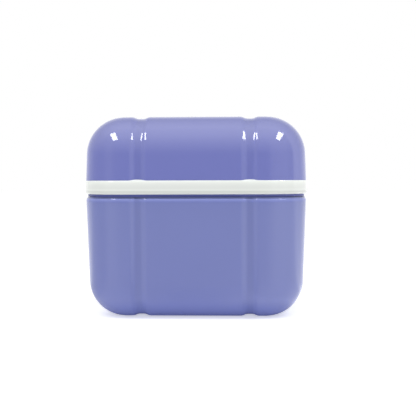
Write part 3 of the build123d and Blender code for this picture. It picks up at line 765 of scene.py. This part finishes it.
trimmed = growth.add("FunctionNodeRandomValue", {"Seed": given["Seed"]},
                     {2: FILAMENT_LENGTHS[0], 3: FILAMENT_LENGTHS[1]}, data_type="FLOAT")
length = growth.add("ShaderNodeCombineXYZ", {2: trimmed.outputs[1]}, {0: 1.0, 1: 1.0})
tuft = growth.add("GeometryNodeInstanceOnPoints", {
    "Points": roots.outputs[0], "Instance": filament.outputs[0],
    "Rotation": aligned.outputs[0], "Scale": length.outputs[0]})
tuft = growth.add("GeometryNodeRealizeInstances", {"Geometry": tuft.outputs[0]})
span_x = growth.maths("MULTIPLY", growth.maths("SUBTRACT", given["Columns"], 1), given["Pitch"])
span_y = growth.maths("MULTIPLY", growth.maths("SUBTRACT", given["Rows"], 1), given["Pitch"])
grid = growth.add("GeometryNodeMeshGrid", {
    "Size X": span_x, "Size Y": span_y, "Vertices X": given["Columns"],
    "Vertices Y": given["Rows"]})
twist = growth.add("FunctionNodeRandomValue", {"Seed": given["Seed"]}, {2: 0.0, 3: 2 * math.pi},
                   data_type="FLOAT")
twisted = growth.add("ShaderNodeCombineXYZ", {2: twist.outputs[1]})
tufts = growth.add("GeometryNodeInstanceOnPoints", {
    "Points": grid.outputs[0], "Instance": tuft.outputs[0], "Rotation": twisted.outputs[0]})
placed = growth.add("GeometryNodeTransform", {"Geometry": tufts.outputs[0],
                                              "Translation": given["Place"]})
bristles = growth.finished(placed.outputs[0], bristle_nylon)

# spring: its end turns lie closed, the turns between them are spaced evenly
growth = Growth("spring_coil", {
    "Turns": ("Float", SPRING_TURNS), "Radius": ("Float", SPRING_RADIUS * MM),
    "Wire Radius": ("Float", SPRING_WIRE * MM),
    "Length": ("Float", (SPRING_SEAT - SPRING_PAD - 2 * SPRING_WIRE) * MM),
    "Place": ("Vector", (0.0, (SPRING_PAD + SPRING_WIRE) * MM, BUTTON_Z * MM)),
})
given = growth.given
helix = growth.add("GeometryNodeCurveSpiral", {
    "Rotations": given["Turns"], "Start Radius": given["Radius"], "End Radius": given["Radius"]},
    {"Resolution": TURN_STEPS, "Height": 0.0})
along = growth.add("GeometryNodeSplineParameter").outputs["Factor"]
closed_turn = 1 / SPRING_TURNS
closed_rise = 2 * SPRING_WIRE / (SPRING_SEAT - SPRING_PAD - 2 * SPRING_WIRE)
rise = growth.add("ShaderNodeFloatCurve", {"Value": along})
rise_line = rise.mapping.curves[0]
for point in ((closed_turn, closed_rise), (1 - closed_turn, 1 - closed_rise)):
    rise_line.points.new(*point)
for point in rise_line.points:
    point.handle_type = "VECTOR"
rise.mapping.update()
lift_by = growth.add("ShaderNodeCombineXYZ", {
    2: growth.maths("MULTIPLY", rise.outputs[0], given["Length"])})
risen = growth.add("GeometryNodeSetPosition", {"Geometry": helix.outputs[0],
                                               "Offset": lift_by.outputs[0]})
section = growth.add("GeometryNodeCurvePrimitiveCircle", {"Radius": given["Wire Radius"]},
                     {"Resolution": WIRE_SIDES}, mode="RADIUS")
wire = growth.add("GeometryNodeCurveToMesh", {"Curve": risen.outputs[0],
                                              "Profile Curve": section.outputs[0]},
                  {"Fill Caps": True})
placed = growth.add("GeometryNodeTransform", {
    "Geometry": wire.outputs[0], "Translation": given["Place"]},
    {"Rotation": (-math.pi / 2, 0.0, 0.0)})
spring = growth.finished(placed.outputs[0], spring_steel)
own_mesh(spring)

# ---------------------------------------------------------------- carried-over parts
# the lid liner takes the neck's finish, with its painted shade in the seam
finishes = {
    "inner_tub": inner_plastic, "lid_liner": neck_plastic, "seal_ring": seal_rubber,
    "mirror_tape": tape_foam, "push_button": button_plastic, "strainer_basket": basket_plastic,
    "basket_handle": basket_plastic, "brush_handle": brush_plastic,
    "hinge_pin_left": pin_steel, "hinge_pin_right": pin_steel,
}
for name, finish in finishes.items():
    for material_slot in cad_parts[name].material_slots:
        material_slot.material = finish

# ---------------------------------------------------------------- bodies
for piece, body, cad_node, material_slot in (
        (lid, "lid", "lid_shell", "shell"), (lower, "base", "lower_shell", "shell"),
        (ring, "lid", "trim_ring", "band"), (mirror, "lid", "mirror", "mirror"),
        (bristles, "brush", "brush_bristles", "bristles"),
        (spring, "base", "button_spring", "steel")):
    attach(piece, body)
    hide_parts(cad_node)

# ---------------------------------------------------------------- studio
FLOOR_SIZE = 3.0
FLOOR_PAINT = 0.88
# light added to the floor's paint: for the camera, and for the rays that light the case
FLOOR_LIFT, FLOOR_BOUNCE = 0.5, 0.44
# millimetres out from the case's core outline over which the floor's lift comes up in the gloss
FLOOR_CLEAR = (10.0, 19.5)
SOFT_LIGHT = 0.61
# levels round the case lie below this, which is 1 on their curve
TOP_LEVEL = 4.0


def light_path_share(tree):
    """1 for camera, glossy and transmission rays, 0 for the rays that light the case.

    The second result is 1 for glossy rays alone."""
    rays = node(tree, "ShaderNodeLightPath").outputs
    share = maths(tree, "MAXIMUM", rays["Is Camera Ray"], rays["Is Glossy Ray"])
    return maths(tree, "MAXIMUM", share, rays["Is Transmission Ray"]), rays["Is Glossy Ray"]


def bearing(tree, east, north):
    """Direction round the case from 0 to 1: 0.5 at the front, 0.75 on the right."""
    front = maths(tree, "MULTIPLY", north, -1.0)
    turn = maths(tree, "ARCTAN2", east, front)
    return maths(tree, "ADD", maths(tree, "DIVIDE", turn, 2 * math.pi), 0.5)


def round_curve(tree, share, levels):
    """Level at a bearing, from pairs of degrees and level."""
    ratio = curve(tree, share, [(angle / 360 + 0.5, value / TOP_LEVEL) for angle, value in levels])
    return maths(tree, "MULTIPLY", ratio, TOP_LEVEL)


# what the gloss sees of the floor, added to its paint: degrees round the case and strength
FLOOR_ROUND = ((-180, 0.7), (-118, 0.8), (-97, 0.35), (-66, 0.25), (-44, 0.75), (-20, 0.45),
               (-3, 0.3), (4, 0.35), (24, 0.8), (42, 1.1), (62, 1.0), (80, 0.9), (94, 1.4),
               (110, 1.0), (180, 0.7))
floor_mesh = bpy.data.meshes.new("floor")
floor_mesh.from_pydata([(x * FLOOR_SIZE, y * FLOOR_SIZE, 0.0)
                        for x, y in ((-1, -1), (1, -1), (1, 1), (-1, 1))], [], [(0, 1, 2, 3)])
floor = bpy.data.objects.new("floor", floor_mesh)
bpy.context.scene.collection.objects.link(floor)
floor_material = bpy.data.materials.new("pale_floor")
floor_material.use_nodes = True
tree = floor_material.node_tree
tree.nodes.clear()
paint = node(tree, "ShaderNodeBsdfDiffuse", {"Color": (FLOOR_PAINT, FLOOR_PAINT, FLOOR_PAINT, 1)})
lift = node(tree, "ShaderNodeEmission", {"Color": (1, 1, 1, 1)})
both = node(tree, "ShaderNodeAddShader")
output = node(tree, "ShaderNodeOutputMaterial")
place, (east, north, _) = object_place(tree)
# distance from the case's core outline: the lift starts where the floor comes out from under it
reach = vector_maths(tree, "SUBTRACT", vector_maths(tree, "ABSOLUTE", place),
                     (CORE_X * MM, CORE_Y * MM, 0))
reach = vector_maths(tree, "LENGTH", vector_maths(tree, "MAXIMUM", reach, (0, 0, 0)))
clear = mapped(tree, reach, [d * MM for d in FLOOR_CLEAR], smooth=True)
gloss_lift = round_curve(tree, bearing(tree, east, north), FLOOR_ROUND)
gloss_lift = maths(tree, "MULTIPLY", gloss_lift, clear)
seen, glossy = light_path_share(tree)
plain_lift = maths(tree, "MULTIPLY", maths(tree, "SUBTRACT", seen, glossy), FLOOR_LIFT)
bounce = maths(tree, "MULTIPLY", maths(tree, "SUBTRACT", 1.0, seen), FLOOR_BOUNCE)
strength = maths(tree, "ADD", plain_lift, maths(tree, "MULTIPLY", glossy, gloss_lift))
strength = maths(tree, "ADD", strength, bounce)
tree.links.new(strength, lift.inputs["Strength"])
tree.links.new(paint.outputs[0], both.inputs[0])
tree.links.new(lift.outputs[0], both.inputs[1])
tree.links.new(both.outputs[0], output.inputs["Surface"])
floor_mesh.materials.append(floor_material)

# Brightness that the gloss shows. Round the horizon, in degrees from the open front (0) over
# the right side (+90) and the left (-90) to the backdrop (180), and up from the horizon (0) to
# the ceiling (1). The ceiling is dimmer towards the backdrop.
ROOM_ROUND = ((-180, 1.3), (-131, 1.1), (-110, 0.9), (-98, 0.65), (-70, 0.5), (-46, 0.85),
              (-34, 0.55), (-20, 0.35), (0, 0.3), (8, 0.35), (26, 1.0), (57, 1.2), (80, 0.95),
              (85, 1.0), (89, 1.9), (104, 1.7), (118, 1.3), (150, 1.3), (180, 1.3))
ROOM_ABOVE = ((0.0, 0.0), (0.03, 0.0), (0.2, 0.145), (0.37, 0.285), (0.67, 0.61), (0.89, 0.93),
              (1.0, 1.0))
CEILING = 3.2
BACK_DIMMING, DIMMING_CAP = 1.1, 0.7
# windows of the two softboxes: towards them, half their width and height as tangents, and the
# degrees that their ends and their long sides are turned by
SOFTBOXES = (((-0.487, -0.404, 0.774), 0.24, 0.11, -50.0, -36.0),
             ((0.583, -0.306, 0.754), 0.26, 0.107, 42.0, 31.0))
SOFTBOX_LEVEL = 18.0
# a softbox fades over the last part of its half width and half height
SOFTBOX_CORE = 0.88
# least share of a direction that counts as towards a softbox, so that nothing divides by zero
LEAST_AHEAD = 0.01
LAMP_DISTANCE, LAMP_SIZE, LAMP_POWER = 0.8, 0.4, 1.7
LAMP_TARGET = (0.0, 0.0, 0.06)


def softbox_window(tree, vector, aim, half_width, half_height, end_turn, side_turn):
    """1 where the vector points into a four-sided softbox, soft at the edge."""
    aim = Vector(aim).normalized()
    across = Vector((0, 0, 1)).cross(aim).normalized()
    upwards = aim.cross(across)
    ends, sides = math.radians(end_turn), math.radians(side_turn)
    across, upwards = (across * math.cos(ends) + upwards * math.sin(ends),
                       upwards * math.cos(sides) - across * math.sin(sides))
    ahead = maths(tree, "MAXIMUM", vector_maths(tree, "DOT_PRODUCT", vector, aim), LEAST_AHEAD)
    inside = []
    for axis, half in ((across, half_width), (upwards, half_height)):
        off = maths(tree, "DIVIDE", vector_maths(tree, "DOT_PRODUCT", vector, axis), ahead)
        inside.append(mapped(tree, maths(tree, "ABSOLUTE", off), (half, half * SOFTBOX_CORE),
                             smooth=True))
    return maths(tree, "MULTIPLY", *inside)


world = bpy.data.worlds.new("studio")
bpy.context.scene.world = world
world.use_nodes = True
tree = world.node_tree
tree.nodes.clear()
soft_light = node(tree, "ShaderNodeBackground", {"Color": (1, 1, 1, 1), "Strength": SOFT_LIGHT})
backdrop = node(tree, "ShaderNodeBackground", {"Color": (1, 1, 1, 1), "Strength": 1.0})
room = node(tree, "ShaderNodeBackground", {"Color": (1, 1, 1, 1)})
direction = node(tree, "ShaderNodeTexCoord").outputs["Generated"]
east, north, height = coordinates(tree, direction)
around = round_curve(tree, bearing(tree, east, north), ROOM_ROUND)
above = curve(tree, height, ROOM_ABOVE)
dimming = maths(tree, "MULTIPLY", maths(tree, "MAXIMUM", north, 0.0), BACK_DIMMING)
dimming = maths(tree, "MINIMUM", dimming, DIMMING_CAP)
ceiling = maths(tree, "MULTIPLY", maths(tree, "SUBTRACT", 1.0, dimming), CEILING)
level = maths(tree, "ADD", maths(tree, "MULTIPLY", ceiling, above),
              maths(tree, "MULTIPLY", around, maths(tree, "SUBTRACT", 1.0, above)))
for softbox in SOFTBOXES:
    glow = softbox_window(tree, direction, *softbox)
    level = maths(tree, "ADD", level, maths(tree, "MULTIPLY", glow, SOFTBOX_LEVEL))
tree.links.new(level, room.inputs["Strength"])
seen, glossy = light_path_share(tree)
shown = node(tree, "ShaderNodeMixShader")
choose = node(tree, "ShaderNodeMixShader")
output = node(tree, "ShaderNodeOutputWorld")
tree.links.new(glossy, shown.inputs[0])
tree.links.new(backdrop.outputs[0], shown.inputs[1])
tree.links.new(room.outputs[0], shown.inputs[2])
tree.links.new(seen, choose.inputs[0])
tree.links.new(soft_light.outputs[0], choose.inputs[1])
tree.links.new(shown.outputs[0], choose.inputs[2])
tree.links.new(choose.outputs[0], output.inputs["Surface"])


def lamp(name, aim):
    """Square lamp in a direction from the case and turned to it; the gloss does not show it."""
    light = bpy.data.lights.new(name, "AREA")
    light.size = LAMP_SIZE
    light.energy = LAMP_POWER
    obj = bpy.data.objects.new(name, light)
    aim = Vector(aim).normalized()
    obj.location = Vector(LAMP_TARGET) + aim * LAMP_DISTANCE
    obj.rotation_euler = aim.to_track_quat("Z", "Y").to_euler()
    obj.visible_glossy = False
    bpy.context.scene.collection.objects.link(obj)


for name, softbox in zip(("lamp_left", "lamp_right"), SOFTBOXES):
    lamp(name, softbox[0])

# ---------------------------------------------------------------- camera
# degrees and metres; the focal length is in pixels of the frame's width
VIEW = {"azimuth": 2.985, "distance": 0.3868, "height": 0.05666, "yaw": -0.591,
        "pitch": 1.939, "roll": -0.178, "focal": 889.2}
FRAME_WIDTH = 416
SENSOR = 36.0
azimuth = math.radians(VIEW["azimuth"])
heading = azimuth + math.radians(VIEW["yaw"])
pitch, roll = math.radians(VIEW["pitch"]), math.radians(VIEW["roll"])
forward = Vector((-math.sin(heading) * math.cos(pitch), math.cos(heading) * math.cos(pitch),
                  -math.sin(pitch)))
right = forward.cross(Vector((0, 0, 1))).normalized()
upward = right.cross(forward)
right, upward = (right * math.cos(roll) + upward * math.sin(roll),
                 upward * math.cos(roll) - right * math.sin(roll))
camera_data = bpy.data.cameras.new("camera")
camera_data.lens = VIEW["focal"] / FRAME_WIDTH * SENSOR
camera_data.sensor_width = SENSOR
camera_data.clip_start = 0.01
camera = bpy.data.objects.new("camera", camera_data)
camera.matrix_world = Matrix.Translation((
    VIEW["distance"] * math.sin(azimuth), -VIEW["distance"] * math.cos(azimuth),
    VIEW["height"])) @ Matrix((right, upward, -forward)).transposed().to_4x4()
bpy.context.scene.collection.objects.link(camera)
bpy.context.scene.camera = camera
bpy.context.scene.view_settings.view_transform = "Standard"
